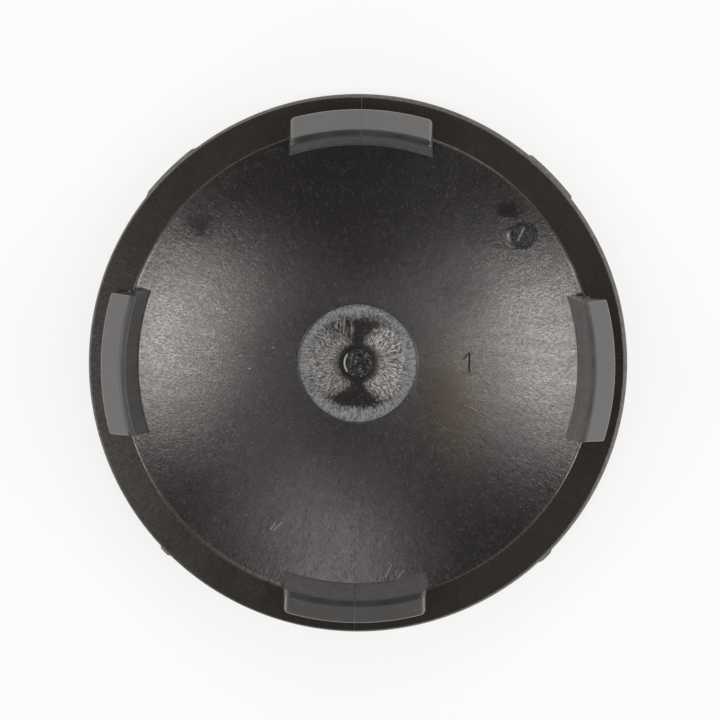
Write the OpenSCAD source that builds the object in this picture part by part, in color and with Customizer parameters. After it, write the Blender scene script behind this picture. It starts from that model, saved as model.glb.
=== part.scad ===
// Wheel centre cap, lying on its domed front with the snap clips upwards.
// The front is a thin drawn aluminium sheet. Glass-filled nylon is moulded
// behind it in one shot, with the rim, the dished back and the clips.
// The origin is the middle of the dome's lowest point, and +Z runs from the
// front to the clips. Lengths are millimetres, angles are degrees.

/* [Face sheet] */
// Diameter over the face sheet
face_d = 60; // [50:0.5:75]
// Rise of the domed front from its middle to its outer edge
face_rise = 3.4; // [2:0.1:5]
// Thickness of the aluminium
sheet_t = 0.5; // [0.3:0.05:0.7]
// Outside radius of the bend that turns the sheet's edge
bend_r = 1; // [0.8:0.1:1.5]
// Straight wall of the turned edge, above the bend
edge_wall_h = 1; // [0.6:0.1:2]
// How far the shear nibs stand out of the cut edge
nib_proud = 0.2; // [0.1:0.05:0.3]
// Height of the shear nibs along the wall
nib_h = 0.5; // [0.3:0.1:0.6]
// Widths of the four shear nibs, one in each quarter
nib_widths = [6.5, 7.3, 1.2, 1.6]; // [0.8:0.1:9]

/* [Rim and dish] */
// How far the moulded rim stands in from the face sheet's edge
rim_step = 0.35; // [0.15:0.05:0.4]
// Height of the moulded rim above the sheet's turned edge
rim_h = 2; // [1:0.1:3]
// Radius on the rim's outer corner
rim_round = 0.1; // [0.1:0.05:0.5]
// Width of the flat flange between the rim and the dish
flange_w = 3.55; // [2.5:0.05:6]
// Thickness of the moulding at the middle of the dish, behind the sheet
dish_wall = 2.5; // [2:0.1:3.2]
// How far the moulded rim sits off the face sheet's centre
register_error = 0.12; // [0:0.01:0.14]

/* [Gate] */
// Diameter of the round step that the nozzle insert leaves
insert_d = 13.4; // [8:0.1:20]
// Depth of that step
insert_step = 0.15; // [0.05:0.05:0.3]
// Width of the flat ledge inside the step
insert_ledge = 0.2; // [0.1:0.05:0.5]
// Width of the sloping border inside the ledge
border_w = 1.15; // [0.6:0.05:1.5]
// Height of that border
border_h = 0.45; // [0.2:0.05:0.8]
// Depth of the shallow bowl that the border runs round
bowl_depth = 0.2; // [0.1:0.05:0.4]
// Diameter of the broken-off gate stub
stub_d = 3.2; // [1.5:0.1:5]
// Height of the gate stub
stub_h = 0.35; // [0.2:0.05:0.8]

/* [Snap clips] */
// Number of clips round the flange
clip_count = 4; // [3:1:5]
// Width of a clip at its root
clip_w = 15.9; // [8:0.1:20]
// Height of a clip above the flange
clip_h = 8.6; // [7:0.1:12]
// Taper of each side of a clip
side_draft = 2.2; // [0:0.1:4]
// Thickness of a clip at its root
leg_t = 1.95; // [1.5:0.05:3]
// How far the clip's outer face stands outside the edge of the dish
leg_offset = 0.3; // [0:0.05:1]
// How far the clip's inner face leans outwards at its tip
leg_lean = 0.75; // [0:0.05:1.4]
// How far the barb reaches past the clip's outer face
barb_reach = 1.8; // [0.8:0.1:2]
// Height of the barb's widest line above the flange
barb_h = 4.7; // [3.5:0.1:5.5]
// Upright land along the barb's widest line
barb_land = 0.3; // [0.1:0.05:0.8]
// Angle of the barb's holding face to the flange
barb_return = 42; // [20:1:60]
// Width of the flat on the clip's tip
tip_w = 0.75; // [0.5:0.05:1.2]
// Radius on the edges of the tip
tip_round = 0.2; // [0.1:0.05:0.24]
// Radius on the two ends of the barb
corner_r = 0.45; // [0.2:0.05:1]
// Fillet between a clip and the flange
root_fillet = 0.4; // [0.2:0.05:0.8]

/* [Hidden] */
$fn = 180;

// Overlap that lets one solid run into another or cut right through it
sink = 1.2;
// Straight pieces in each quarter turn of a small rounding
round_steps = 4;

face_r = face_d / 2;
wall_top = face_rise + edge_wall_h;
flange_z = wall_top + rim_h;
bend_centre_r = face_r - bend_r;

// The dome is tangent to the bend, whose centre lies at the height of face_rise.
dome_r = (pow(bend_centre_r, 2) + pow(face_rise, 2) - pow(bend_r, 2)) / (2 * (face_rise - bend_r));

rim_r = face_r - rim_step;
dish_edge_r = rim_r - flange_w;
dish_floor = sheet_t + dish_wall;
dish_depth = flange_z - dish_floor;
dish_r = (pow(dish_edge_r, 2) + pow(dish_depth, 2)) / (2 * dish_depth);

insert_r = insert_d / 2;
ledge_z = sphere_height(dish_r, insert_r) + dish_floor - insert_step;
hollow_edge_r = insert_r - insert_ledge;
bowl_edge_r = hollow_edge_r - border_w;
bowl_r = (pow(bowl_edge_r, 2) + pow(bowl_depth, 2)) / (2 * bowl_depth);
border_z = ledge_z - border_h;
hollow_floor = border_z - bowl_depth;

// The border's cone runs on this far over the ledge, inside the step that is cut there anyway
border_over = insert_ledge / 2;

leg_out_r = dish_edge_r + leg_offset;
leg_in_r = leg_out_r - leg_t;
tip_in_r = leg_in_r + leg_lean;
tip_out_r = tip_in_r + tip_w;
barb_r = leg_out_r + barb_reach;
barb_low = barb_h - barb_land / 2;
barb_high = barb_h + barb_land / 2;
return_z = barb_low - barb_reach * tan(barb_return);

// Half the width of a clip at its barb, and the centre of the rounding there
barb_half_w = clip_w / 2 - barb_h * tan(side_draft);
corner_y = barb_half_w - corner_r;
corner_x = sqrt(pow(barb_r - corner_r, 2) - pow(corner_y, 2));
corner_turn = atan2(corner_y, corner_x);

// Height of a sphere's surface above its lowest point, at distance d from its axis
function sphere_height(r, d) = r - sqrt(r * r - d * d);

// Points on an arc about (cx, cz) from angle a to angle b
function arc(cx, cz, r, a, b) =
    [for (i = [0:round_steps]) let (t = a + (b - a) * i / round_steps) [cx + r * cos(t), cz + r * sin(t)]];

// Direction of the inner face, and of the lead-in slope from the tip down to the barb
inner_turn = atan2(clip_h, leg_lean);
lead_turn = atan2(barb_high - clip_h, barb_r - tip_out_r);

// Centre of a rounding in the tip's inner corner and in its outer corner
tip_in_c = [tip_in_r + tip_round * tan(inner_turn / 2), clip_h - tip_round];
tip_out_c = [tip_out_r - tip_round * tan(-lead_turn / 2), clip_h - tip_round];

// Section of a clip: distance from the cap's axis, and height above the flange
clip_section = concat(
    [[leg_in_r - leg_lean * sink / clip_h, -sink]],
    arc(tip_in_c[0], tip_in_c[1], tip_round, inner_turn + 90, 90),
    arc(tip_out_c[0], tip_out_c[1], tip_round, 90, lead_turn + 90),
    [[barb_r, barb_high], [barb_r, barb_low], [leg_out_r, return_z]],
    arc(leg_out_r + root_fillet, root_fillet, root_fillet, 180, 270),
    [[leg_out_r + root_fillet, -sink]]
);

// The space inside the face sheet's outer skin, drawn inset by the given thickness.
// A sphere, the bend and the straight wall meet tangentially.
module cup_fill(inset, top) {
    tangent_r = bend_centre_r * dome_r / (dome_r - bend_r);
    inner_bend = bend_r - inset;
    intersection() {
        translate([0, 0, dome_r]) sphere(r = dome_r - inset);
        cylinder(r = tangent_r * (dome_r - inset) / dome_r, h = top);
    }
    translate([0, 0, face_rise]) rotate_extrude() translate([bend_centre_r, 0]) circle(r = inner_bend);
    translate([0, 0, face_rise]) cylinder(r = face_r - inset, h = top - face_rise);
}

// One shear nib, left where the blank was cut from its strip
module nib(width) {
    translate([0, 0, wall_top - nib_h]) intersection() {
        cylinder(r = face_r + nib_proud, h = nib_h);
        translate([face_r - sheet_t / 2, -width / 2, 0]) cube([sheet_t + nib_proud, width, nib_h]);
    }
}

// Domed sheet with its edge turned up round the moulding
module face_sheet() {
    color([0.72, 0.72, 0.73]) {
        difference() {
            cup_fill(0, wall_top);
            cup_fill(sheet_t, wall_top + sink);
        }
        for (i = [0:3]) rotate([0, 0, 45 + 90 * i]) nib(nib_widths[i]);
    }
}

// Rim above the sheet's turned edge, with its outer corner rounded
module rim() {
    translate([0, 0, wall_top]) cylinder(r = rim_r, h = rim_h - rim_round);
    translate([0, 0, wall_top]) cylinder(r = rim_r - rim_round, h = rim_h);
    translate([0, 0, flange_z - rim_round])
        rotate_extrude() translate([rim_r - rim_round, 0]) circle(r = rim_round);
}

// Everything that is hollowed out of the back: the dish, the insert's step and the hollow in it
module back_hollows() {
    translate([0, 0, dish_floor + dish_r]) sphere(r = dish_r);
    translate([0, 0, ledge_z]) cylinder(r = insert_r, h = dish_depth);
    translate([0, 0, border_z])
        cylinder(r1 = bowl_edge_r, r2 = hollow_edge_r + border_over, h = border_h * (1 + border_over / border_w));
    intersection() {
        translate([0, 0, hollow_floor + bowl_r]) sphere(r = bowl_r);
        translate([0, 0, hollow_floor]) cylinder(r = bowl_edge_r, h = bowl_depth + border_h / 2);
    }
}

// What rounds off one end of a barb, tilted to lie along the clip's tapered side
module corner_cut() {
    reach = 3 * corner_r;
    translate([corner_x, corner_y, barb_h]) rotate([side_draft, 0, 0]) translate([0, 0, return_z - barb_h])
        linear_extrude(clip_h) difference() {
            polygon([[0, 0], reach * [cos(corner_turn), sin(corner_turn)], [reach, reach], [0, reach]]);
            circle(r = corner_r);
        }
}

// One snap clip: a curved leg with a barb, tapered sides and rounded ends
module clip() {
    half_sweep = asin(clip_w / 2 / leg_in_r) + 5;
    top_half_w = clip_w / 2 - clip_h * tan(side_draft);
    root_half_w = clip_w / 2 + sink * tan(side_draft);
    difference() {
        intersection() {
            rotate([0, 0, -half_sweep]) rotate_extrude(angle = 2 * half_sweep) polygon(clip_section);
            rotate([90, 0, 90]) linear_extrude(face_r)
                polygon([[-root_half_w, -sink], [root_half_w, -sink], [top_half_w, clip_h], [-top_half_w, clip_h]]);
        }
        corner_cut();
        mirror([0, 1, 0]) corner_cut();
    }
}

// Moulding behind the sheet: dished plate, rim, gate mark and clips in one piece
module moulded_body() {
    color([0.17, 0.165, 0.16]) {
        difference() {
            union() {
                cup_fill(sheet_t, wall_top);
                translate([-register_error, 0, 0]) rim();
            }
            back_hollows();
        }
        translate([0, 0, hollow_floor - dish_wall / 10]) cylinder(d = stub_d, h = stub_h + dish_wall / 10);
        for (i = [0:clip_count - 1])
            rotate([0, 0, 360 * i / clip_count]) translate([0, 0, flange_z]) clip();
    }
}

face_sheet();
moulded_body();
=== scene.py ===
"""Wheel centre cap, lying on its domed front with the moulded back and its snap clips upwards.

A drawn aluminium sheet makes the front. Black glass-filled nylon is moulded behind it in one
shot: the dished plate, the rim round it, four snap clips, the gate and the mould's own marks.
Lengths are metres, and each section holds one piece of the cap.
"""

import math

import bpy
import numpy as np
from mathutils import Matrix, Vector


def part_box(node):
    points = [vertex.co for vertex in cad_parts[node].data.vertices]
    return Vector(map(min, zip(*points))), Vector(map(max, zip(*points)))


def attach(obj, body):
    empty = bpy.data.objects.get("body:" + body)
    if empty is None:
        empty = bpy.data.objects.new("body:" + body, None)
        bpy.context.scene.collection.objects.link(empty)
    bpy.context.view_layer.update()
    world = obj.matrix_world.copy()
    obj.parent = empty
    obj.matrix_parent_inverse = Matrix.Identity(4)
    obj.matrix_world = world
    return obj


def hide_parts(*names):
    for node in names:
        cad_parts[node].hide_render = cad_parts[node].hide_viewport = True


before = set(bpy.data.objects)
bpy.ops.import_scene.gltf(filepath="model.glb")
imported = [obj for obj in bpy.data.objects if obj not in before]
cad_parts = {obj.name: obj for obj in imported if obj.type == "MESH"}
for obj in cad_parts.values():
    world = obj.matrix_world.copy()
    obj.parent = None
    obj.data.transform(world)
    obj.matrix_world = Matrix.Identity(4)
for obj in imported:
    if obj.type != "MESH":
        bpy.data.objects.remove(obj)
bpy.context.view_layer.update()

# Face sheet. The real one is thin aluminium, blanked from strip, drawn into a shallow dome and
# turned up at its edge. The moulding behind grips it, and four shear nibs stand on its cut edge.
mm = 0.001
sheet_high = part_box("face_sheet")[1]
body_low, body_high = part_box("moulded_body")
face_r = sheet_high[0]
wall_top = sheet_high[2]
sheet_t = body_low[2]
bend_r = 1.0 * mm
edge_wall_h = 1.0 * mm
face_rise = wall_top - edge_wall_h
burr_r = 0.05 * mm
nib_proud = 0.2 * mm
nib_h = 0.5 * mm
nib_flank = 0.1 * mm
nib_foot = 0.05 * mm
nib_root = 0.2 * mm
nib_widths = (6.5 * mm, 7.3 * mm, 1.2 * mm, 1.6 * mm)
sheared_h = 0.56 * mm
face_turns = 720
sharp_turn = math.radians(38)
line_depth = 0.004 * mm
rolled_dark, rolled_pale = (0.66, 0.66, 0.67), (0.8, 0.8, 0.81)
tarnish_dark, tarnish_pale = (0.075, 0.066, 0.06), (0.27, 0.243, 0.222)
dome_r = ((face_r - bend_r) ** 2 + face_rise ** 2 - bend_r ** 2) / (2 * (face_rise - bend_r))


def bow(cx, cz, radius, start, end, steps):
    """Points on a circle about (cx, cz), from angle start to angle end in radians."""
    t = np.linspace(start, end, steps)
    return np.stack([cx + radius * np.cos(t), cz + radius * np.sin(t)], axis=1)


def closed_mesh(name, points, quads):
    """A mesh object whose faces are turned outwards: if the volume that they enclose, the sum
    of a x b . c over their triangles, comes out negative, each face is reversed."""
    a, b, c, d = (points[quads[:, k]] for k in range(4))
    volume = np.sum(np.cross(a, b) * c) + np.sum(np.cross(a, c) * d)
    faces = quads[:, ::-1] if volume < 0 else quads
    merged = faces != np.roll(faces, 1, axis=1)
    mesh = bpy.data.meshes.new(name)
    mesh.from_pydata(points.tolist(), [], [f[m].tolist() for f, m in zip(faces, merged)])
    mesh.polygons.foreach_set("use_smooth", np.ones(len(mesh.polygons), dtype=bool))
    mesh.set_sharp_from_angle(angle=sharp_turn)
    mesh.update()
    piece = bpy.data.objects.new(name, mesh)
    bpy.context.scene.collection.objects.link(piece)
    return piece


def lathe(name, profile, turns, shape=None):
    """A profile of (radius, height) carried round Z: x = r cos t, y = r sin t, z = h. Its first
    and last points lie on the axis and close as poles. shape may move the whole grid, given as
    arrays x, y, z with one row for each point of the profile."""
    t = np.arange(turns) * 2 * np.pi / turns
    r, z = profile[1:-1, 0, None], profile[1:-1, 1, None]
    grid = np.stack([r * np.cos(t), r * np.sin(t), z + 0 * t])
    poles = np.array([[0, 0, profile[0, 1]], [0, 0, profile[-1, 1]]])
    if shape:
        grid = np.stack(shape(*grid))
        poles = np.stack(shape(*poles.T)).T
    rings = grid.shape[1]
    points = np.concatenate([grid.reshape(3, -1).T, poles])
    index = np.arange(rings * turns).reshape(rings, turns)
    near, far = index[:-1], index[1:]
    sides = np.stack([near, far, np.roll(far, -1, axis=1), np.roll(near, -1, axis=1)], axis=-1)
    first, last = index[0], index[-1]
    start = np.full(turns, rings * turns)
    fan_a = np.stack([start, start, first, np.roll(first, -1)], axis=-1)
    fan_b = np.stack([np.roll(last, -1), last, start + 1, start + 1], axis=-1)
    return closed_mesh(name, points, np.concatenate([sides.reshape(-1, 4), fan_a, fan_b]))


def cup_profile(inset):
    """Half section of the drawn cup, from its middle to its wall: the dome's arc and the bend's
    arc, both drawn inset by the sheet's thickness or by nothing, meet in a tangent."""
    meet = math.atan2(dome_r - face_rise, face_r - bend_r)
    dome = bow(0, dome_r, dome_r - inset, -math.pi / 2, -meet, 36)
    turn = bow(face_r - bend_r, face_rise, bend_r - inset, -meet, 0, 10)
    return np.concatenate([dome, turn[1:]])


def with_nibs(x, y, z):
    """Pushes the top of the wall's outer skin outwards where a nib stands: by nib_proud over its
    width and height, falling to nothing across nib_flank at each end and nib_foot below."""
    turn = np.arctan2(y, x)
    r = np.hypot(x, y)
    push = 0 * x
    for quarter, width in enumerate(nib_widths):
        middle = math.radians(45 + 90 * quarter)
        off = np.abs(np.angle(np.exp(1j * (turn - middle)))) * face_r
        along = np.clip((width / 2 + nib_flank / 2 - off) / nib_flank, 0, 1)
        up = np.clip((z - wall_top + nib_h + nib_foot) / nib_foot, 0, 1)
        outside = np.clip((r - face_r + nib_root) / (nib_root - burr_r), 0, 1)
        push = np.maximum(push, nib_proud * along * up * outside)
    scale = np.where(r > 0, 1 + push / np.maximum(r, mm), 1)
    return x * scale, y * scale, z


outer_skin = cup_profile(0)
inner_skin = cup_profile(sheet_t)
cut_edge = np.concatenate([
    bow(face_r - burr_r, wall_top - burr_r, burr_r, 0, math.pi / 2, 4),
    [[face_r - sheet_t, wall_top]],
])
wall_rows = np.array([[face_r, h] for h in np.linspace(wall_top - nib_h - nib_foot, wall_top - 2 * burr_r, 6)])
face_profile = np.concatenate([outer_skin, wall_rows, cut_edge, inner_skin[::-1]])
face_profile[0, 0] = face_profile[-1, 0] = 0
face_piece = lathe("face_skin", face_profile, face_turns, with_nibs)


def add(tree, kind, **values):
    """One node with its settings and its inputs: a value that is a socket is joined to the
    input, and any other is written on it. Inputs named by number start with an n."""
    made = tree.nodes.new(kind)
    for name, value in values.items():
        if hasattr(made, name):
            setattr(made, name, value)
            continue
        socket = made.inputs[int(name[1:])] if name[1:].isdigit() else made.inputs[name.replace("_", " ")]
        if isinstance(value, bpy.types.NodeSocket):
            tree.links.new(value, socket)
        else:
            socket.default_value = value
    return made


def calc(tree, operation, a, b=0.0, c=0.0):
    """A Math node's result."""
    return add(tree, "ShaderNodeMath", operation=operation, n0=a, n1=b, n2=c).outputs[0]


def chain(tree, operation, *values):
    """One Math operation carried through all the values in turn."""
    made = values[0]
    for value in values[1:]:
        made = calc(tree, operation, made, value)
    return made


def ramp(tree, value, low, high, at_low=0.0, at_high=1.0):
    """value carried from the range low..high to at_low..at_high, smoothly and without overshoot."""
    return add(tree, "ShaderNodeMapRange", interpolation_type="SMOOTHSTEP",
               n0=value, n1=low, n2=high, n3=at_low, n4=at_high).outputs[0]


def lumps(tree, place, size, detail=2.0, rough=0.5):
    """Noise whose lumps are about size metres across."""
    return add(tree, "ShaderNodeTexNoise", Vector=place, Scale=1 / size, Detail=detail, Roughness=rough).outputs[0]


def mixed(tree, share, colour, other):
    """A colour that goes from colour to other as share goes from 0 to 1. colour may be a socket."""
    first = colour if isinstance(colour, bpy.types.NodeSocket) else (*colour, 1)
    return add(tree, "ShaderNodeMix", data_type="RGBA", Factor=share, n6=first, n7=(*other, 1)).outputs[2]


def bumps(tree, height, depth, strength=1.0):
    """The normal of a skin whose height goes from 0 to 1 over depth metres."""
    return add(tree, "ShaderNodeBump", Strength=strength, Distance=depth, Height=height).outputs[0]


def new_material(name, **sockets):
    """A material with one Principled shader, whose constants are set on the shader itself.
    Returns the material, its tree, the shader and the Object coordinates."""
    material = bpy.data.materials.new(name)
    material.use_nodes = True
    tree = material.node_tree
    shader = tree.nodes["Principled BSDF"]
    for socket, value in sockets.items():
        shader.inputs[socket.replace("_", " ")].default_value = value
    return material, tree, shader, tree.nodes.new("ShaderNodeTexCoord").outputs["Object"]


def dress(tree, shader, **sockets):
    """Joins each of the sockets to the shader's input of the same name."""
    for name, socket in sockets.items():
        tree.links.new(socket, shader.inputs[name.replace("_", " ")])


# Satin aluminium, with the fine lines that rolling leaves along the strip
aluminium, tree, shader, place = new_material("satin_aluminium", Metallic=1.0)
rolled = add(tree, "ShaderNodeMapping", Vector=place, Scale=(0.04, 1.0, 1.0)).outputs[0]
lines = lumps(tree, rolled, 0.12 * mm, 3.0)
cloud = lumps(tree, place, 6 * mm)
dress(tree, shader, Base_Color=mixed(tree, lines, rolled_dark, rolled_pale),
      Roughness=ramp(tree, cloud, 0.3, 0.7, 0.26, 0.34), Normal=bumps(tree, lines, line_depth, 0.6))
face_piece.data.materials.append(aluminium)

# The sheared edge is rough and stained, and stays duller than the skin
sheared, tree, shader, place = new_material("sheared_edge", Metallic=1.0, Roughness=0.55)
tarnish = lumps(tree, place, 0.5 * mm, 3.0, 0.6)
dress(tree, shader, Base_Color=mixed(tree, tarnish, tarnish_dark, tarnish_pale))
face_piece.data.materials.append(sheared)
heights = np.array([polygon.center[2] for polygon in face_piece.data.polygons])
face_piece.data.polygons.foreach_set("material_index", (heights > wall_top - sheared_h).astype(np.int32))
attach(face_piece, "root")
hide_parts("face_sheet")

# Moulded plate. Black glass-filled nylon, injected through a gate in its middle: a dished back,
# a ring bead at the dish's edge, a flat flange, and a rim that closes on the sheet's cut edge.
register = (body_low[0] + body_high[0]) / 2
rim_r = (body_high[0] - body_low[0]) / 2
rim_h = 2.0 * mm
rim_round = 0.1 * mm
flange_w = 3.55 * mm
dish_wall = 2.5 * mm
flange_z = wall_top + rim_h
dish_edge_r = rim_r - flange_w
dish_floor = sheet_t + dish_wall
dish_depth = flange_z - dish_floor
dish_r = (dish_edge_r ** 2 + dish_depth ** 2) / (2 * dish_depth)
bead_r = 0.12 * mm
bead_h = 0.08 * mm
bevel_w = 0.07 * mm
bevel_slope = math.radians(13)
step_round = 0.03 * mm
insert_r = 6.7 * mm - bevel_w
insert_step = 0.15 * mm
ledge_w = 0.2 * mm
border_w = 1.15 * mm
border_h = 0.45 * mm
bowl_depth = 0.2 * mm
plate_turns = 480
skin_depth = 0.023 * mm
skin_black, fibre_grey = (0.0135, 0.0119, 0.0113), (0.042, 0.039, 0.037)
oily_brown, flange_brown = (0.046, 0.029, 0.01), (0.0205, 0.0172, 0.015)
highlight_white, reflection_blue = (0.367, 0.346, 0.326), (0.112, 0.117, 0.124)


def bowl_height(radius, r):
    """Height of a sphere's surface above its lowest point, at distance r from its axis."""
    return radius - np.sqrt(radius ** 2 - r ** 2)


def arc_rows(start_r, end_r, rows, radius, floor):
    """Rows of a bowl's section between two distances from the axis."""
    r = np.linspace(start_r, end_r, rows)
    return np.stack([r, floor + bowl_height(radius, r)], axis=1)


ledge_z = dish_floor + bowl_height(dish_r, insert_r) - insert_step
hollow_edge_r = insert_r - ledge_w
bowl_edge_r = hollow_edge_r - border_w
bowl_r = (bowl_edge_r ** 2 + bowl_depth ** 2) / (2 * bowl_depth)
border_z = ledge_z - border_h
hollow_floor = border_z - bowl_depth
border_r = np.linspace(bowl_edge_r + 0.07 * mm, hollow_edge_r, 8)
hollow = np.concatenate([
    arc_rows(0, bowl_edge_r - 0.06 * mm, 30, bowl_r, hollow_floor),
    np.stack([border_r, border_z + (border_r - bowl_edge_r) / border_w * border_h], axis=1),
])
step_top = dish_floor + bowl_height(dish_r, insert_r + bevel_w) - bevel_w * math.tan(bevel_slope)

# The rows stand close together beside each edge, so that the broad faces next to it keep their slope
plate_profile = np.concatenate([
    hollow,
    [[hollow_edge_r + 0.05 * mm, ledge_z], [insert_r - 0.02 * mm, ledge_z]],
    bow(insert_r + step_round, step_top - step_round, step_round, math.pi, math.pi / 2, 4),
    arc_rows(insert_r + bevel_w + 0.01 * mm, insert_r + bevel_w + 0.04 * mm, 2, dish_r, dish_floor),
    arc_rows(insert_r + bevel_w + 0.3 * mm, dish_edge_r - 0.25 * mm, 61, dish_r, dish_floor),
    arc_rows(dish_edge_r - 0.12 * mm, dish_edge_r - 0.06 * mm, 2, dish_r, dish_floor),
    bow(dish_edge_r + 0.02 * mm, flange_z - bead_r + bead_h, bead_r, math.radians(140), math.radians(25), 7),
    [[r, flange_z] for r in (dish_edge_r + 0.2 * mm, dish_edge_r + 0.25 * mm, rim_r - 1.8 * mm, rim_r - 2 * rim_round)],
    bow(rim_r - rim_round, flange_z - rim_round, rim_round, math.pi / 2, 0, 8),
    [[rim_r, flange_z - 2 * rim_round], [rim_r, wall_top], [face_r - sheet_t, wall_top]],
    inner_skin[::-1],
])


def off_register(x, y, z):
    """Above the sheet's cut edge the rim stands a little off the face sheet's centre."""
    edge = (np.hypot(x, y) > rim_r - 1.0 * mm) & (z > wall_top - 0.01 * mm)
    return x + register * edge, y, z


plate = lathe("moulded_plate", plate_profile, plate_turns, off_register)

# Its skin: fine lumps of fibre all over the dish, with hairs and streaks in the shine that fan out
# from the gate. In the hollow, where the insert tore the skin, flecks fan out as well. A painted
# highlight whitens them in two fans at the sides, and a painted reflection makes a pale band along the edge
nylon, tree, shader, place = new_material("dish_nylon", IOR=1.6, Specular_Tint=(1.0, 0.957, 0.93, 1.0))
x, y, z = add(tree, "ShaderNodeSeparateXYZ", Vector=place).outputs
flat = add(tree, "ShaderNodeCombineXYZ", X=x, Y=y).outputs[0]
reach = add(tree, "ShaderNodeVectorMath", operation="LENGTH", n0=flat).outputs[1]
outward = add(tree, "ShaderNodeVectorMath", operation="NORMALIZE", n0=flat).outputs[0]


def fanned(at_r, along):
    """A place for noise that fans out from the middle: round the middle it goes as the bearing
    times the distance at_r, and outwards as the distance from the axis times the share along."""
    spokes = add(tree, "ShaderNodeVectorMath", operation="SCALE", n0=outward, Scale=at_r).outputs[0]
    depth = add(tree, "ShaderNodeCombineXYZ", Z=calc(tree, "MULTIPLY", reach, along)).outputs[0]
    return add(tree, "ShaderNodeVectorMath", operation="ADD", n0=spokes, n1=depth).outputs[0]


fibre = lumps(tree, place, 0.2 * mm, 3.0, 0.75)
streaks = lumps(tree, fanned(14 * mm, 0.3), 0.2 * mm, 3.0, 0.75)
hairs = lumps(tree, fanned(17 * mm, 0.28), 0.13 * mm, 3.0, 0.75)
brushes = lumps(tree, fanned(14 * mm, 0.14), 0.6 * mm, 2.0)
cloud = lumps(tree, place, 5 * mm, 3.0)
ragged = lumps(tree, place, 0.7 * mm, 4.0, 0.7)
torn = lumps(tree, fanned(4 * mm, 0.32), 0.14 * mm, 3.0, 0.75)
in_hollow = ramp(tree, reach, insert_r - 0.08 * mm, insert_r - 0.04 * mm, 1.0, 0.0)
in_dish = ramp(tree, reach, dish_edge_r - 0.3 * mm, dish_edge_r, 1.0, 0.1)


def blot(at_x, at_y, half_x, half_y, ragging=2.5):
    """1 inside an ellipse about (at_x, at_y) and 0 outside it, with a ragged edge: noise is added
    to the distance from its middle, which is 1 on the ellipse. Its lengths are millimetres."""
    off = add(tree, "ShaderNodeVectorMath", operation="SUBTRACT", n0=flat, n1=(at_x * mm, at_y * mm, 0)).outputs[0]
    shares = (1 / (half_x * mm), 1 / (half_y * mm), 0)
    off = add(tree, "ShaderNodeVectorMath", operation="MULTIPLY", n0=off, n1=shares).outputs[0]
    from_middle = add(tree, "ShaderNodeVectorMath", operation="LENGTH", n0=off).outputs[1]
    frayed = calc(tree, "MULTIPLY_ADD", ragged, ragging, calc(tree, "SUBTRACT", from_middle, ragging / 2))
    return ramp(tree, frayed, 0.3, 1.5, 1.0, 0.0)


# Three places where the grain is worn smooth
polished = chain(tree, "MAXIMUM", calc(tree, "MULTIPLY", blot(-17.7, 14.9, 1.5, 1.6, 1.6), 0.55),
                 blot(16.5, 17.2, 1.5, 0.95, 1.6), blot(24.4, 8.9, 0.5, 1.4))
grainy = calc(tree, "SUBTRACT", 1.0, calc(tree, "MULTIPLY", polished, 0.8))

# Torn fans left and right of the gate, where the painted highlight of the side lamps falls. Above and
# below it a dark wedge is left between them, and a few flecks are dragged into the upper one
spoke_x = add(tree, "ShaderNodeSeparateXYZ", Vector=outward).outputs[0]
spread = calc(tree, "MULTIPLY_ADD", reach, -120.0, calc(tree, "ABSOLUTE", spoke_x))
spread = calc(tree, "MULTIPLY_ADD", torn, 0.7, spread)
spread = calc(tree, "SUBTRACT", spread, ramp(tree, x, -2 * mm, 2 * mm, 0.12, 0.02))
rise = calc(tree, "MULTIPLY_ADD", torn, 1.6 * mm, reach)
brushed = add(tree, "ShaderNodeMapping", Vector=place, Scale=(1.0, 0.06, 1.0)).outputs[0]
brushed = ramp(tree, lumps(tree, brushed, 0.22 * mm, 2.0), 0.48, 0.62)
dragged = chain(tree, "MULTIPLY", brushed, blot(-1.7, 3.7, 1.0, 1.5, 1.0), 0.55)
in_fan = calc(tree, "MULTIPLY", ramp(tree, spread, 0.25, 0.52), ramp(tree, rise, 3.0 * mm, 3.7 * mm))
in_fan = calc(tree, "MAXIMUM", in_fan, dragged)
towards_edge = calc(tree, "MAXIMUM", calc(tree, "ABSOLUTE", y), calc(tree, "MULTIPLY", reach, 0.95))
band = ramp(tree, calc(tree, "MULTIPLY_ADD", torn, 2.0 * mm, towards_edge), 5.8 * mm, 6.5 * mm)
mottle = calc(tree, "MULTIPLY_ADD", streaks, 0.4, calc(tree, "MULTIPLY", fibre, 0.6))
in_grain = calc(tree, "MULTIPLY", in_dish, grainy)
rough = calc(tree, "MAXIMUM", calc(tree, "MULTIPLY_ADD", in_fan, 3.0, 0.1), calc(tree, "MULTIPLY", band, 2.2))
height = add(tree, "ShaderNodeMix", Factor=in_hollow, n2=calc(tree, "MULTIPLY", mottle, in_grain),
             n3=calc(tree, "MULTIPLY", torn, rough)).outputs[0]
gloss = calc(tree, "MULTIPLY_ADD", ramp(tree, streaks, 0.5, 0.75), 0.05, ramp(tree, cloud, 0.3, 0.7, 0.08, 0.12))

# The shine follows the hairs and the brush marks, and three faint smudges take some of it away
smudged = chain(tree, "MAXIMUM", blot(9.4, -3.4, 2.6, 3.4, 1.2), blot(11.6, 8.0, 3.2, 2.8, 1.2),
                calc(tree, "MULTIPLY", blot(-11, 0.8, 2.4, 2.6, 1.2), 0.7))
glint = calc(tree, "MULTIPLY_ADD", hairs, 0.65, calc(tree, "MULTIPLY", mottle, 0.35))
shine = chain(tree, "MULTIPLY", ramp(tree, glint, 0.3, 0.7, 0.24, 0.76), calc(tree, "MULTIPLY_ADD", grainy, 0.6, 0.4),
              ramp(tree, brushes, 0.3, 0.7, 0.92, 1.08), calc(tree, "MULTIPLY_ADD", smudged, -0.24, 1.0))
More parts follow.
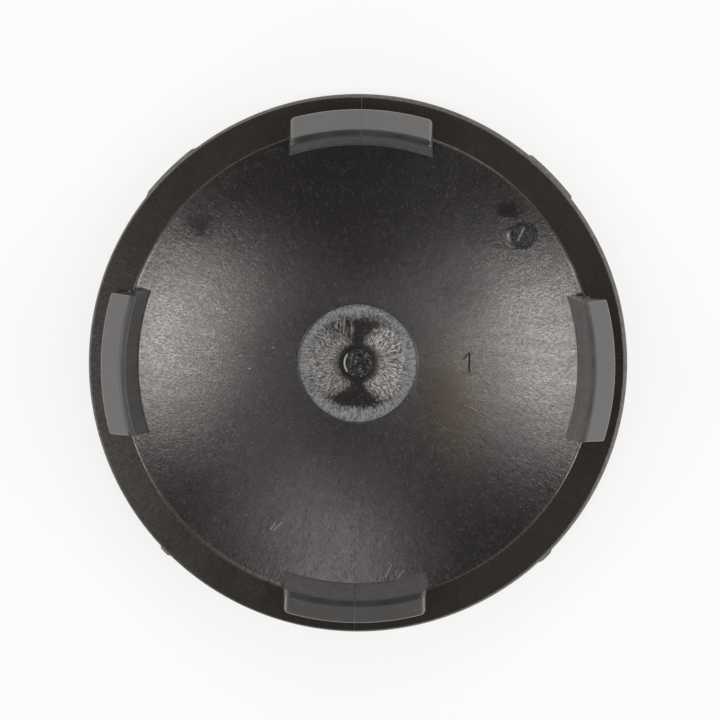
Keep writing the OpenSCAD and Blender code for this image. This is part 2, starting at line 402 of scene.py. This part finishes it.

# Its colours, one over another: flecks of fibre, an oily stain, the browner flange, the fans whitened
# by painted highlight, most on the right, and the bluish band of painted reflection, most at the bottom
fleck = chain(tree, "MULTIPLY", ramp(tree, mottle, 0.49, 0.66), ramp(tree, ragged, 0.4, 0.62, 0.15, 1.2), in_grain)
stain = calc(tree, "MULTIPLY", blot(11.4, -3.2, 3.6, 6.4, 0.7), 0.5)
flange = ramp(tree, reach, dish_edge_r + 0.02 * mm, dish_edge_r + 0.12 * mm)
brown = calc(tree, "MULTIPLY", flange, ramp(tree, ragged, 0.3, 0.7, 0.75, 1.0))
# Painted highlight: the side lamps' glare on the torn flecks, paler on the right
white = chain(tree, "MULTIPLY", ramp(tree, torn, 0.42, 0.64), calc(tree, "MULTIPLY", in_fan, in_hollow),
              ramp(tree, x, -2 * mm, 2 * mm, 0.56, 1.0))
# Painted reflection: a pale bluish band round the hollow's edge, stronger at the bottom
painted_reflection = chain(tree, "MULTIPLY", band, in_hollow, ramp(tree, torn, 0.38, 0.62, 0.06, 1.05),
             ramp(tree, y, -5.4 * mm, -3.6 * mm, 1.5, 1.0))
colour = mixed(tree, fleck, skin_black, fibre_grey)
for share, other in ((stain, oily_brown), (brown, flange_brown), (white, highlight_white), (painted_reflection, reflection_blue)):
    colour = mixed(tree, share, colour, other)
dress(tree, shader, Base_Color=colour, Roughness=gloss, Specular_IOR_Level=shine,
      Normal=bumps(tree, height, skin_depth))
plate.data.materials.append(nylon)
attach(plate, "root")
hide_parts("moulded_body")

# Snap clips. Four curved legs in one piece with the plate, each with a barb outside that holds
# behind the edge of the wheel's bore, a lead-in slope above it, and drafted, rounded ends.
leg_offset = 0.3 * mm
leg_t = 1.95 * mm
leg_lean = 0.75 * mm
tip_w = 0.75 * mm
clip_h = body_high[2] - flange_z
barb_reach = 1.8 * mm
barb_h = 4.7 * mm
half_land = 0.15 * mm
barb_return = math.radians(42)
root_half_w = 7.95 * mm
draft = math.tan(math.radians(2.2))
root_fillet = 0.4 * mm
foot_w = 0.7 * mm
sunk = 1.0 * mm
inner_round = 0.15 * mm
crest_fall_w = 0.7 * mm
crest_fall_r = 3.3 * mm
crest_zone_h = 1.8 * mm
leg_out_r = dish_edge_r + leg_offset
leg_in_r = leg_out_r - leg_t
tip_in_r = leg_in_r + leg_lean
tip_out_r = tip_in_r + tip_w
barb_r = leg_out_r + barb_reach
return_h = barb_h - half_land - barb_reach * math.tan(barb_return)

# For each clip: the rounding of its barb's ends, and the painted light that pales its crest and its inside
clip_looks = ((0.2 * mm, 0.2, 0.93), (0.45 * mm, 0.0, 0.53), (0.2 * mm, 0.2, 0.26), (0.45 * mm, 0.0, 0.48))
side_pale = 0.27
leg_black, pale_lit_grey = (0.008, 0.0077, 0.0074), (0.16, 0.153, 0.146)


def rounded(corners, steps):
    """A path of straight lines whose corners (r, h, radius) are rounded: each arc is tangent to
    both lines, and starts radius / tan(half the corner's angle) away from the corner."""
    rows = []
    for before, here, after in zip([corners[0]] + corners[:-1], corners, corners[1:] + [corners[-1]]):
        p, radius = np.array(here[:2]), here[2]
        if radius == 0:
            rows.append(p[None])
            continue
        a, b = np.array(before[:2]) - p, np.array(after[:2]) - p
        a, b = a / np.linalg.norm(a), b / np.linalg.norm(b)
        half = math.acos(np.clip(a @ b, -1, 1)) / 2
        middle = p + (a + b) / np.linalg.norm(a + b) * radius / math.sin(half)
        swing = math.pi / 2 - half
        axis = (p - middle) / np.linalg.norm(p - middle)
        side = np.sign(axis[0] * b[1] - axis[1] * b[0])
        t = np.linspace(-swing, swing, steps)[:, None] * side
        rows.append(middle + radius * (axis * np.cos(t) + np.array([-axis[1], axis[0]]) * np.sin(t)))
    return np.concatenate(rows)


tip_mid_r = tip_in_r + 0.36 * mm
foot_h = dish_floor + bowl_height(dish_r, leg_in_r - foot_w) - flange_z - 0.01 * mm
inner_side = rounded([
    (leg_in_r - foot_w, -sunk, 0), (leg_in_r - foot_w, foot_h, 0), (leg_in_r, foot_h + 0.1 * mm, root_fillet),
    (leg_in_r + leg_lean / 2, clip_h / 2, 0), (tip_in_r, clip_h, 0.13 * mm), (tip_mid_r, clip_h, 0),
], 9)
outer_side = rounded([
    (leg_out_r + root_fillet, -sunk, 0), (leg_out_r + root_fillet, 0.0, 0), (leg_out_r, 0.0, 0.38 * mm),
    (leg_out_r, return_h, 0.25 * mm), (barb_r, barb_h - half_land, 0.1 * mm),
    (barb_r - 0.1 * mm, barb_h + half_land, 0.16 * mm), (tip_out_r, clip_h, 0.16 * mm), (tip_mid_r, clip_h, 0),
], 7)


def resampled(path, count):
    """The same path with count points, evenly spaced along each of its runs by arc length."""
    run = np.concatenate([[0], np.cumsum(np.linalg.norm(np.diff(path, axis=0), axis=1))])
    extra = np.linspace(0, run[-1], count - len(path) + 2)[1:-1]
    at = np.sort(np.concatenate([run, extra]))
    return np.stack([np.interp(at, run, path[:, 0]), np.interp(at, run, path[:, 1])], axis=1)


side_count = 60
inner_side, outer_side = resampled(inner_side, side_count), resampled(outer_side, side_count)
clip_loop = np.concatenate([inner_side, outer_side[::-1]])

# Which way each point of the section draws in where an end is rounded: 1 on the outer side, -1 on
# the inner side and less on the crest, whose points also sink. on_crest and on_inside say where
# painted light, different on each clip, pales the skin
out_share = np.concatenate([-np.ones(side_count), np.ones(side_count)])
tip_zone = np.clip((np.abs(clip_loop[:, 0] - tip_mid_r)) / (0.2 * mm), 0, 1)
out_share = np.where(clip_loop[:, 1] > clip_h - 0.25 * mm, out_share * tip_zone, out_share)
up_share = np.clip((clip_loop[:, 1] - clip_h + crest_zone_h) / crest_zone_h, 0, 1)
on_crest = clip_loop[:, 1] > clip_h - 0.06 * mm
on_inside = (out_share < 0) & (clip_loop[:, 1] < clip_h - 0.15 * mm)


def snap_clip(name, turn, end_round, crest_light, inside_light):
    """The loop of the section is carried across the clip's width. At share v of the half width
    w(h) = root_half_w - h tan(draft), y = v w and x = sqrt(r^2 - y^2). Near each end the faces
    draw in by e - sqrt(e^2 - (e - d)^2), with d the distance to the end: a rounding of radius e.
    Within a = crest_fall_w of each end the crest falls by (a - d)^2 / (2 crest_fall_r).
    The attribute pale holds how pale the skin is: painted light on the crest and inside, which differs
    from clip to clip, and an even pale tone on the other faces."""
    near_end = 1 - np.geomspace(1e-4, 0.12, 16)
    v = np.concatenate([-near_end, np.linspace(-0.86, 0.86, 41), near_end[::-1]])
    v[0], v[-1] = -1, 1
    r, h = clip_loop[:, 0, None], clip_loop[:, 1, None]
    half = root_half_w - h * draft
    d = half * (1 - np.abs(v))
    out = np.where(out_share[:, None] > 0, end_round, inner_round)
    e = np.where(d < out, out - np.sqrt(np.maximum(out ** 2 - (out - d) ** 2, 0)), 0)
    e_top = np.clip(crest_fall_w - d, 0, None) ** 2 / (2 * crest_fall_r)
    r = r - out_share[:, None] * e
    h = h - up_share[:, None] * e_top
    y = v * half
    x = np.sqrt(r ** 2 - y ** 2)
    c, s = math.cos(turn), math.sin(turn)
    grid = np.stack([x * c - y * s, x * s + y * c, h + flange_z + 0 * y], axis=-1)
    rows, columns = grid.shape[:2]
    index = np.arange(rows * columns).reshape(rows, columns)
    near, far = index, np.roll(index, -1, axis=0)
    quads = [np.stack([near[:, :-1], far[:, :-1], far[:, 1:], near[:, 1:]], axis=-1).reshape(-1, 4)]
    for column, flip in ((0, 1), (-1, -1)):
        a, b = index[:side_count, column], index[side_count:, column][::-1]
        quads.append(np.stack([a[:-1], b[:-1], b[1:], a[1:]], axis=-1)[:, ::flip])
    piece = closed_mesh(name, grid.reshape(-1, 3), np.concatenate(quads))
    pale = np.where(on_crest, crest_light, np.where(on_inside, inside_light, side_pale))
    piece.data.attributes.new("pale", "FLOAT", "POINT").data.foreach_set("value", np.repeat(pale, columns))
    return piece


clip_nylon, tree, shader, place = new_material("clip_nylon", IOR=1.6, Specular_Tint=(1.0, 0.957, 0.93, 1.0))
grain = lumps(tree, place, 0.16 * mm, 3.0, 0.6)
cloud = lumps(tree, place, 2.5 * mm, 3.0)
x, y, z = add(tree, "ShaderNodeSeparateXYZ", Vector=place).outputs

# Fine lines run across each clip, where the slide was drawn: noise of the radius and the height
from_axis = calc(tree, "SQRT", calc(tree, "MULTIPLY_ADD", x, x, calc(tree, "MULTIPLY", y, y)))
along = calc(tree, "MULTIPLY", calc(tree, "ADD", x, y), 0.05)
drawn = lumps(tree, add(tree, "ShaderNodeCombineXYZ", X=from_axis, Y=z, Z=along).outputs[0], 0.3 * mm, 3.0, 0.6)
pale = tree.nodes.new("ShaderNodeAttribute")
pale.attribute_name = "pale"
faded = calc(tree, "MULTIPLY", ramp(tree, cloud, 0.3, 0.7, 0.88, 1.0), ramp(tree, drawn, 0.3, 0.7, 0.86, 1.1))
# The attribute pale paints light and shade into the colour, clip by clip and face by face
pale_and_lit = calc(tree, "MULTIPLY", pale.outputs["Fac"], faded)
dress(tree, shader, Base_Color=mixed(tree, pale_and_lit, leg_black, pale_lit_grey),
      Roughness=ramp(tree, cloud, 0.3, 0.7, 0.22, 0.28), Normal=bumps(tree, grain, line_depth, 0.5))
for number, (end_round, crest_light, inside_light) in enumerate(clip_looks):
    clip = snap_clip(f"snap_clip_{number + 1}", number * math.pi / 2, end_round, crest_light, inside_light)
    clip.data.materials.append(clip_nylon)
    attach(clip, "root")
    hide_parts("moulded_body")

# Gate stub. The sprue was twisted off here, which leaves a low disc with a torn, pitted face
# and a painted highlight, a white crescent on its left edge.
stub_r = 1.62 * mm
stub_h = 0.34 * mm
stub_edge_r = 0.14 * mm
stub_sunk = 0.3 * mm
torn_wave = 0.004 * mm
torn_rim_w = 0.25 * mm
pit_depth = 0.03 * mm
pit_black, pit_white, glint_white = (0.0025, 0.0023, 0.0021), (0.17, 0.16, 0.146), (0.34, 0.315, 0.285)
draw = np.random.default_rng(11)
waves = [(draw.uniform(1.5, 9) / mm, draw.uniform(0, 6.3), draw.uniform(0, 6.3)) for _ in range(22)]


def torn_face(x, y, z):
    """Lifts and sinks the top by a sum of sines, torn_wave sin(k (x cos a + y sin a) + p) for each
    of the waves (k, a, p), which fade over torn_rim_w towards the stub's edge."""
    high = z > hollow_floor + 0.1 * mm
    rough = sum(np.sin(k * (x * math.cos(a) + y * math.sin(a)) + p) for k, a, p in waves)
    fade = np.clip((stub_r - np.hypot(x, y)) / torn_rim_w, 0.15, 1)
    return x, y, z + high * fade * rough * torn_wave


stub_profile = np.concatenate([
    arc_rows(0, stub_r - 0.16 * mm, 36, 40 * mm, hollow_floor + stub_h),
    bow(stub_r - stub_edge_r, hollow_floor + stub_h - 0.13 * mm, stub_edge_r, 1.4, 0, 7),
    [[stub_r, hollow_floor - stub_sunk], [0, hollow_floor - stub_sunk]],
])
stub = lathe("gate_stub", stub_profile, 120, torn_face)
torn_nylon, tree, shader, place = new_material("torn_nylon", IOR=1.6, Roughness=0.12, Specular_IOR_Level=0.3)
pits = lumps(tree, place, 0.24 * mm, 3.0, 0.7)
pitted = mixed(tree, ramp(tree, pits, 0.6, 0.68), pit_black, pit_white)

# The painted highlight is what lies outside a circle whose middle is a little to the right, on the left side only
circle_middle = (0.2 * mm, 0, hollow_floor + stub_h)
off = add(tree, "ShaderNodeVectorMath", operation="SUBTRACT", n0=place, n1=circle_middle).outputs[0]
from_middle = add(tree, "ShaderNodeVectorMath", operation="LENGTH", n0=off).outputs[1]
x = add(tree, "ShaderNodeSeparateXYZ", Vector=place).outputs[0]
glint_crescent = ramp(tree, from_middle, 1.6 * mm, 1.68 * mm)
glint_crescent = calc(tree, "MULTIPLY", glint_crescent, ramp(tree, x, -1.3 * mm, -1.1 * mm, 1.0, 0.0))
# Painted highlight: a warm white crescent on the stub's left edge
dress(tree, shader, Base_Color=mixed(tree, glint_crescent, pitted, glint_white), Normal=bumps(tree, pits, pit_depth))
stub.data.materials.append(torn_nylon)
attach(stub, "root")

# Parting-line flash. The clips' outer slides meet on the Y axis, and leave a fine ridge there
# over the rim, the flange and both clips that the line crosses.
flash_w = 0.08 * mm
flash_h = 0.05 * mm
flash_dark, flash_pale = (0.035, 0.0335, 0.0315), (0.075, 0.072, 0.068)
rim_rows = np.array([[rim_r, -1.9 * mm], [rim_r, -rim_round], [rim_r - rim_round * 0.3, -rim_round * 0.3],
                     [rim_r - rim_round, 0.0], [leg_out_r + 0.45 * mm, 0.0]])
flash_path = np.concatenate([rim_rows, outer_side[outer_side[:, 1] > 0.02 * mm],
                             inner_side[inner_side[:, 1] > -0.3 * mm][::-1]])


def three_sided(name, grid):
    """A closed bar from a grid of points, three across and any number along: quads join each
    three to the next, and a triangle closes either end."""
    index = np.arange(grid.shape[0] * 3).reshape(-1, 3)
    near, far = index[:-1], index[1:]
    sides = np.stack([near, far, np.roll(far, -1, axis=1), np.roll(near, -1, axis=1)], axis=-1).reshape(-1, 4)
    ends = np.array([[index[0, 0], index[0, 0], index[0, 1], index[0, 2]],
                     [index[-1, 2], index[-1, 1], index[-1, 0], index[-1, 0]]])
    return closed_mesh(name, grid.reshape(-1, 3), np.concatenate([sides, ends]))


def ridge(name, path, turn):
    """A path of (radius, height) in an upright plane becomes a ridge of triangular section: its
    crest stands flash_h off the path along the path's normal, and its feet are sunk as deep."""
    ahead = np.gradient(path, axis=0)
    ahead /= np.linalg.norm(ahead, axis=1)[:, None]
    normal = np.stack([ahead[:, 1], -ahead[:, 0]], axis=1)
    crest = path + normal * flash_h
    foot = path - normal * flash_h
    c, s = math.cos(turn), math.sin(turn)
    rows = [(crest, 0.0), (foot, flash_w), (foot, -flash_w)]
    grid = np.stack([np.stack([p[:, 0] * c - w * s, p[:, 0] * s + w * c, p[:, 1] + flange_z], axis=-1)
                     for p, w in rows], axis=1)
    return three_sided(name, grid)


flash_nylon, tree, shader, place = new_material("flash_nylon", IOR=1.5, Roughness=0.4)
wear = ramp(tree, lumps(tree, place, 0.3 * mm), 0.3, 0.7)
dress(tree, shader, Base_Color=mixed(tree, wear, flash_dark, flash_pale))
for number, turn in enumerate((math.pi / 2, -math.pi / 2)):
    flash = ridge(f"parting_flash_{number + 1}", flash_path, turn)
    flash.data.materials.append(flash_nylon)
    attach(flash, "root")

# Marks in the dish: the cavity number 1 that the mould leaves, and the scratches and specks of
# later handling. Each is a fine ridge of the same nylon, and the scratches are whitened.
foot_depth = 0.02 * mm
speck_half = (0.07, 0.05)
mark_dark, mark_pale = (0.003, 0.0028, 0.0026), (0.007, 0.0066, 0.0062)
scratch_dark, scratch_pale = (0.1, 0.098, 0.094), (0.26, 0.255, 0.247)


def stroke(name, corners, half_w, high, material):
    """A line over the dish through corners (x, y) in millimetres. At each of its points a crest
    stands high above the dish, and two feet lie half_w to either side, sunk foot_depth below it."""
    path = resampled(np.array(corners) * mm, 12)
    ahead = np.gradient(path, axis=0)
    ahead /= np.linalg.norm(ahead, axis=1)[:, None]
    aside = np.stack([-ahead[:, 1], ahead[:, 0]], axis=1)
    rows = []
    for offset, lift in ((0, high), (half_w, -foot_depth), (-half_w, -foot_depth)):
        at = path + aside * offset
        z = dish_floor + bowl_height(dish_r, np.hypot(at[:, 0], at[:, 1])) + lift
        rows.append(np.column_stack([at, z]))
    piece = three_sided(name, np.stack(rows, axis=1))
    piece.data.materials.append(material)
    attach(piece, "root")


mark_nylon, tree, shader, place = new_material("mark_nylon", IOR=1.5)
wear = lumps(tree, place, 0.3 * mm)
dress(tree, shader, Roughness=ramp(tree, wear, 0.3, 0.7, 0.45, 0.6),
      Base_Color=mixed(tree, wear, mark_dark, mark_pale))
scratched, tree, shader, place = new_material("scratched_nylon", IOR=1.5)
wear = lumps(tree, place, 0.2 * mm)
dress(tree, shader, Roughness=ramp(tree, wear, 0.3, 0.7, 0.3, 0.5),
      Base_Color=mixed(tree, wear, scratch_dark, scratch_pale))
stroke("cavity_stem", [(12.41, 1.42), (12.44, -0.81)], 0.12 * mm, 0.09 * mm, mark_nylon)
stroke("cavity_flag", [(12.44, 1.42), (11.75, 0.63)], 0.1 * mm, 0.07 * mm, mark_nylon)
stroke("cavity_line", [(11.44, -0.93), (13.11, -0.91)], 0.06 * mm, 0.03 * mm, nylon)
stroke("cavity_dot", [(12.95, -0.92), (13.12, -0.91)], 0.09 * mm, 0.05 * mm, mark_nylon)
scratches = ([(3.36, -23.76), (4.06, -22.2)], [(4.81, -23.74), (5.41, -22.83)],
             [(-9.52, -18.59), (-8.97, -17.93)], [(-9.18, -18.68), (-8.19, -17.77)])
for number, corners in enumerate(scratches):
    stroke(f"scratch_{number + 1}", corners, 0.09 * mm, 0.04 * mm, scratched)
specks = ((-9.47, 1.65), (-12.1, -0.73), (-0.35, -22.83))
for number, middle in enumerate(specks):
    stroke(f"speck_{number + 1}", [np.subtract(middle, speck_half), np.add(middle, speck_half)],
           0.055 * mm, 0.03 * mm, scratched)

# Date insert. A flat-ended pin in the mould leaves a level disc, let into the slope of the dish
# on its outer side and proud of it on its inner side, with an arrow and ticks on its face.
date_x, date_y = 18.12 * mm, 14.55 * mm
date_r = 1.55 * mm
date_z = dish_floor + bowl_height(dish_r, math.hypot(date_x, date_y)) + 0.02 * mm
arrow_h = 0.12 * mm
stroke_w = 0.09 * mm
tick_w = 0.1 * mm
stroke_h = 0.04 * mm
insert_turns = 96
carved_turn = math.radians(30)
disc_dark, disc_pale = (0.006, 0.0056, 0.0053), (0.026, 0.0245, 0.023)


def carved(piece, cutter):
    """Cuts the closed mesh of cutter out of piece, with the result kept in its mesh."""
    cut = piece.modifiers.new("cut", "BOOLEAN")
    cut.operation = "DIFFERENCE"
    cut.object = cutter
    cut.solver = "EXACT"
    bpy.context.view_layer.update()
    result = bpy.data.meshes.new_from_object(piece.evaluated_get(bpy.context.evaluated_depsgraph_get()))
    piece.modifiers.remove(cut)
    result.set_sharp_from_angle(angle=carved_turn)
    piece.data = result
    bpy.data.objects.remove(cutter)


def moved(x, y, z):
    """Puts a turned shape at the date insert's place."""
    return x + date_x, y + date_y, z


pocket_floor, pocket_top = date_z - 0.1 * mm, date_z + 1.5 * mm
pocket_profile = np.array([[0, pocket_floor], [date_r + 0.02 * mm, pocket_floor], [date_r + 0.05 * mm, pocket_top],
                           [0, pocket_top]])
carved(plate, lathe("date_pocket", pocket_profile, insert_turns, moved))
groove_r = date_r - 0.31 * mm
groove_half, groove_depth = 0.04 * mm, 0.05 * mm
disc_edge = 0.05 * mm
disc_low = date_z - 0.6 * mm
disc_profile = np.concatenate([
    [[0, date_z], [0.5 * mm, date_z], [groove_r - groove_half, date_z], [groove_r, date_z - groove_depth],
     [groove_r + groove_half, date_z]],
    bow(date_r - disc_edge, date_z - disc_edge, disc_edge, math.pi / 2, 0, 4),
    [[date_r, disc_low], [0, disc_low]],
])
disc = lathe("date_insert", disc_profile, insert_turns, moved)
disc_nylon, tree, shader, place = new_material("disc_nylon", IOR=1.55, Specular_IOR_Level=0.36)
grain = lumps(tree, place, 0.25 * mm, 3.0, 0.7)
dress(tree, shader, Base_Color=mixed(tree, ramp(tree, grain, 0.45, 0.65), disc_dark, disc_pale),
      Roughness=ramp(tree, grain, 0.35, 0.65, 0.12, 0.3), Normal=bumps(tree, grain, pit_depth))
disc.data.materials.append(disc_nylon)
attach(disc, "root")


crescent_turn = math.radians(160)
collar_in_r, collar_r = date_r - 0.1 * mm, date_r + 0.65 * mm


def crescent(x, y, z):
    """Draws a turned collar in to a crescent: outside the disc its width shrinks with the angle
    a from its widest place, as cos(a) to the power 0.4, to nothing at a quarter turn."""
    r, turn = np.hypot(x, y), np.arctan2(y, x)
    wide = np.clip(np.cos(turn - crescent_turn), 0, 1) ** 0.4
    narrowed = collar_in_r + (r - collar_in_r) * wide
    scale = np.where(r > collar_in_r, narrowed / np.maximum(r, collar_in_r), 1)
    return moved(x * scale, y * scale, z)


collar_rows = ((0, 0.07 * mm), (collar_in_r, 0.07 * mm), (date_r + 0.05 * mm, 0.08 * mm), (collar_r, 0.3 * mm),
               (collar_r, 0.7 * mm), (0, 0.7 * mm))
collar_profile = np.array([[r, date_z - drop] for r, drop in collar_rows])
collar = lathe("date_collar", collar_profile, insert_turns, crescent)
collar.data.materials.append(nylon)
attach(collar, "root")


def bar(name, x0, y0, x1, y1, width, high, material):
    """A low ridge on the disc from (x0, y0) to (x1, y1), measured from its middle: a gable of the
    given width with ends that slope back by half of it."""
    start, end = np.array([x0, y0]), np.array([x1, y1])
    ahead = (end - start) / np.linalg.norm(end - start)
    aside = np.array([-ahead[1], ahead[0]]) * width / 2
    feet = [start - aside, end - aside, end + aside, start + aside]
    crest = [start + ahead * width / 2, end - ahead * width / 2]
    points = np.array([[*(p + (date_x, date_y)), date_z - 0.03 * mm] for p in feet]
                      + [[*(p + (date_x, date_y)), date_z + high] for p in crest])
    quads = np.array([[0, 1, 5, 4], [2, 3, 4, 5], [1, 2, 5, 5], [3, 0, 4, 4], [3, 2, 1, 0]])
    piece = closed_mesh(name, points, quads)
    piece.data.materials.append(material)
    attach(piece, "root")


bar("date_arrow", -0.62 * mm, -0.62 * mm, 0.1 * mm, 0.94 * mm, 0.26 * mm, arrow_h, scratched)

# Plain strokes in place of figures, two short paths of four each, and ticks on an arc below them
left_path = ((-1.0, 0.9), (-0.7, 0.9), (-0.7, 0.7), (-1.0, 0.45), (-0.68, 0.45))
right_path = ((0.3, 0.35), (0.6, 0.35), (0.42, 0.15), (0.62, 0.0), (0.3, -0.1))
digits = [pair for path in (left_path, right_path) for pair in zip(path[:-1], path[1:])]
for number, (start, end) in enumerate(digits):
    bar(f"date_digit_{number + 1}", *(np.array([*start, *end]) * mm), stroke_w, stroke_h, flash_nylon)
tick_in_r, tick_out_r = 1.3 * mm, 1.5 * mm
for number, turn in enumerate(np.radians(np.linspace(195, 345, 13))):
    c, s = math.cos(turn), math.sin(turn)
    bar(f"date_tick_{number + 1}", tick_in_r * c, tick_in_r * s, tick_out_r * c, tick_out_r * s,
        tick_w, stroke_h, flash_nylon)

# Stage: a plain white floor, a softbox with a brighter core at either side, weaker ones at the
# head and in the corner, and a pale surround with a dark place overhead, where the camera stands.
floor_half = 1.5
paper_dark, paper_pale = (0.72, 0.718, 0.712), (0.735, 0.733, 0.727)
corners = np.array([[-1, -1, 0], [1, -1, 0], [1, 1, 0], [-1, 1, 0]]) * floor_half
floor_mesh = bpy.data.meshes.new("floor")
floor_mesh.from_pydata(corners.tolist(), [], [(0, 1, 2, 3)])
floor = bpy.data.objects.new("floor", floor_mesh)
bpy.context.scene.collection.objects.link(floor)
paper, tree, shader, place = new_material("white_paper", Roughness=0.9, Specular_IOR_Level=0.1)
dress(tree, shader, Base_Color=mixed(tree, lumps(tree, place, 0.4), paper_dark, paper_pale))

# To the camera and in reflections the paper is mostly a plain white of its own
path = tree.nodes.new("ShaderNodeLightPath").outputs
seen = chain(tree, "MAXIMUM", path["Is Camera Ray"], path["Is Glossy Ray"], path["Is Transmission Ray"])
seen = calc(tree, "MULTIPLY", seen, 0.7)
white = add(tree, "ShaderNodeEmission", Color=(0.985, 0.983, 0.978, 1), Strength=1.0)
paper_white = add(tree, "ShaderNodeMixShader", n0=seen, n1=shader.outputs[0], n2=white.outputs[0])
tree.links.new(paper_white.outputs[0], tree.nodes["Material Output"].inputs["Surface"])
floor_mesh.materials.append(paper)


def softbox(name, turn, start, end, width, radiance, distance=1.0):
    """A rectangular lamp that faces the cap. turn is its bearing from +X, and start and end are
    the angles off the vertical between which it reaches, all in degrees."""
    middle, spread = math.radians((start + end) / 2), math.radians((end - start) / 2)
    lamp = bpy.data.lights.new(name, "AREA")
    lamp.shape = "RECTANGLE"
    lamp.size = 2 * distance * math.tan(spread)
    lamp.size_y = 2 * distance * math.tan(math.radians(width / 2))
    lamp.energy = radiance * math.pi * lamp.size_y * lamp.size
    holder = bpy.data.objects.new(name, lamp)
    bearing = math.radians(turn)
    holder.location = (distance * math.sin(middle) * math.cos(bearing),
                       distance * math.sin(middle) * math.sin(bearing), distance * math.cos(middle))
    holder.rotation_euler = (0, middle, bearing)
    holder.rotation_mode = "XYZ"
    holder.visible_camera = False
    bpy.context.scene.collection.objects.link(holder)


softbox("left_softbox", 192.5, 15, 25.8, 17, 3.1)
softbox("left_core", 192.5, 17, 25.3, 15, 5.8, 0.9)
softbox("right_softbox", -14.5, 15.5, 25.8, 16, 2.9)
softbox("right_core", -14.5, 18, 25.3, 14, 7.6, 0.9)
softbox("head_softbox", 86, 13, 27, 8, 3.4)
softbox("corner_softbox", 60, 8, 19, 8, 1.7)

# A grey card lies before the cap and shows only in its gloss: it holds the near clip dark
card_half_w, card_far, card_near, card_h = 60 * mm, -130 * mm, -37.5 * mm, 0.4 * mm
card_mesh = bpy.data.meshes.new("grey_card")
card_mesh.from_pydata([(-card_half_w, card_far, card_h), (card_half_w, card_far, card_h),
                       (card_half_w, card_near, card_h), (-card_half_w, card_near, card_h)], [], [(0, 1, 2, 3)])
card = bpy.data.objects.new("grey_card", card_mesh)
bpy.context.scene.collection.objects.link(card)
card_grey = new_material("card_grey", Roughness=0.9, Base_Color=(0.12, 0.12, 0.12, 1))[0]
card_mesh.materials.append(card_grey)
card.visible_camera = card.visible_diffuse = card.visible_shadow = card.visible_transmission = False

world = bpy.data.worlds.new("pale_surround")
bpy.context.scene.world = world
world.use_nodes = True
tree = world.node_tree
direction = tree.nodes.new("ShaderNodeTexCoord").outputs["Generated"]
east, north, up = add(tree, "ShaderNodeSeparateXYZ", Vector=direction).outputs


def off_top(degrees):
    """The upward part of a direction that many degrees off the vertical."""
    return math.cos(math.radians(degrees))


# A bright ring round the dark place fades below into a sky that is paler to the north and the east
ring_level = 2.5
crown = ramp(tree, up, off_top(41), off_top(34), ring_level, 0.08)
low_sky = calc(tree, "ADD", ramp(tree, north, -0.6, 0.3, 0.1, 0.7), ramp(tree, east, 0.2, 0.9, 0.0, 0.6))
low_sky = add(tree, "ShaderNodeMapRange", n0=up, n1=off_top(62), n2=off_top(50),
              n3=low_sky, n4=ring_level).outputs[0]
horizon = ramp(tree, up, 0.12, 0.2, 1.3, 0.0)
level = calc(tree, "MAXIMUM", calc(tree, "MINIMUM", crown, low_sky), horizon)


def pane(east_mid, east_half, north_mid, north_half, soft, radiance):
    """A pale rectangle overhead, whose edges fade over 2 soft in the direction's own units."""
    sides = []
    for along, middle, half, inside in ((east, east_mid, east_half, radiance), (north, north_mid, north_half, 1.0)):
        off = calc(tree, "ABSOLUTE", calc(tree, "SUBTRACT", along, middle))
        sides.append(ramp(tree, off, half - soft, half + soft, inside, 0.0))
    return calc(tree, "MULTIPLY", *sides)


panes = ((-0.234, 0.166, -0.12, 0.095, 0.012, 1.5), (0.24, 0.1, -0.16, 0.06, 0.02, 1.6),
         (0.095, 0.04, 0.12, 0.04, 0.03, 0.55), (-0.15, 0.045, -0.36, 0.1, 0.05, 0.5),
         (-0.2, 0.06, 0.12, 0.05, 0.04, 0.9))
overhead = ramp(tree, up, 0.8, 0.9)
for one_pane in panes:
    level = calc(tree, "MAXIMUM", level, calc(tree, "MULTIPLY", pane(*one_pane), overhead))
tree.nodes["Background"].inputs["Color"].default_value = (1, 1, 1, 1)
tree.links.new(level, tree.nodes["Background"].inputs["Strength"])

# Camera: 0.4 m above the cap, tipped a little towards the cap's +Y side and rolled
camera_far = 0.4
camera_tip = math.radians(3.0)
camera_roll = math.radians(0.8)
aim = np.array([0.216 * mm, 0.407 * mm, 4.0 * mm])
back = np.array([-math.sin(camera_roll) * math.sin(camera_tip),
                 math.cos(camera_roll) * math.sin(camera_tip), math.cos(camera_tip)])
camera_data = bpy.data.cameras.new("camera")
camera_data.sensor_width = 36
camera_data.lens = 179.31
camera = bpy.data.objects.new("camera", camera_data)
camera.location = aim + back * camera_far
camera.rotation_euler = (-camera_tip, 0, camera_roll)
bpy.context.scene.collection.objects.link(camera)
bpy.context.scene.camera = camera
bpy.context.scene.view_settings.view_transform = "Standard"
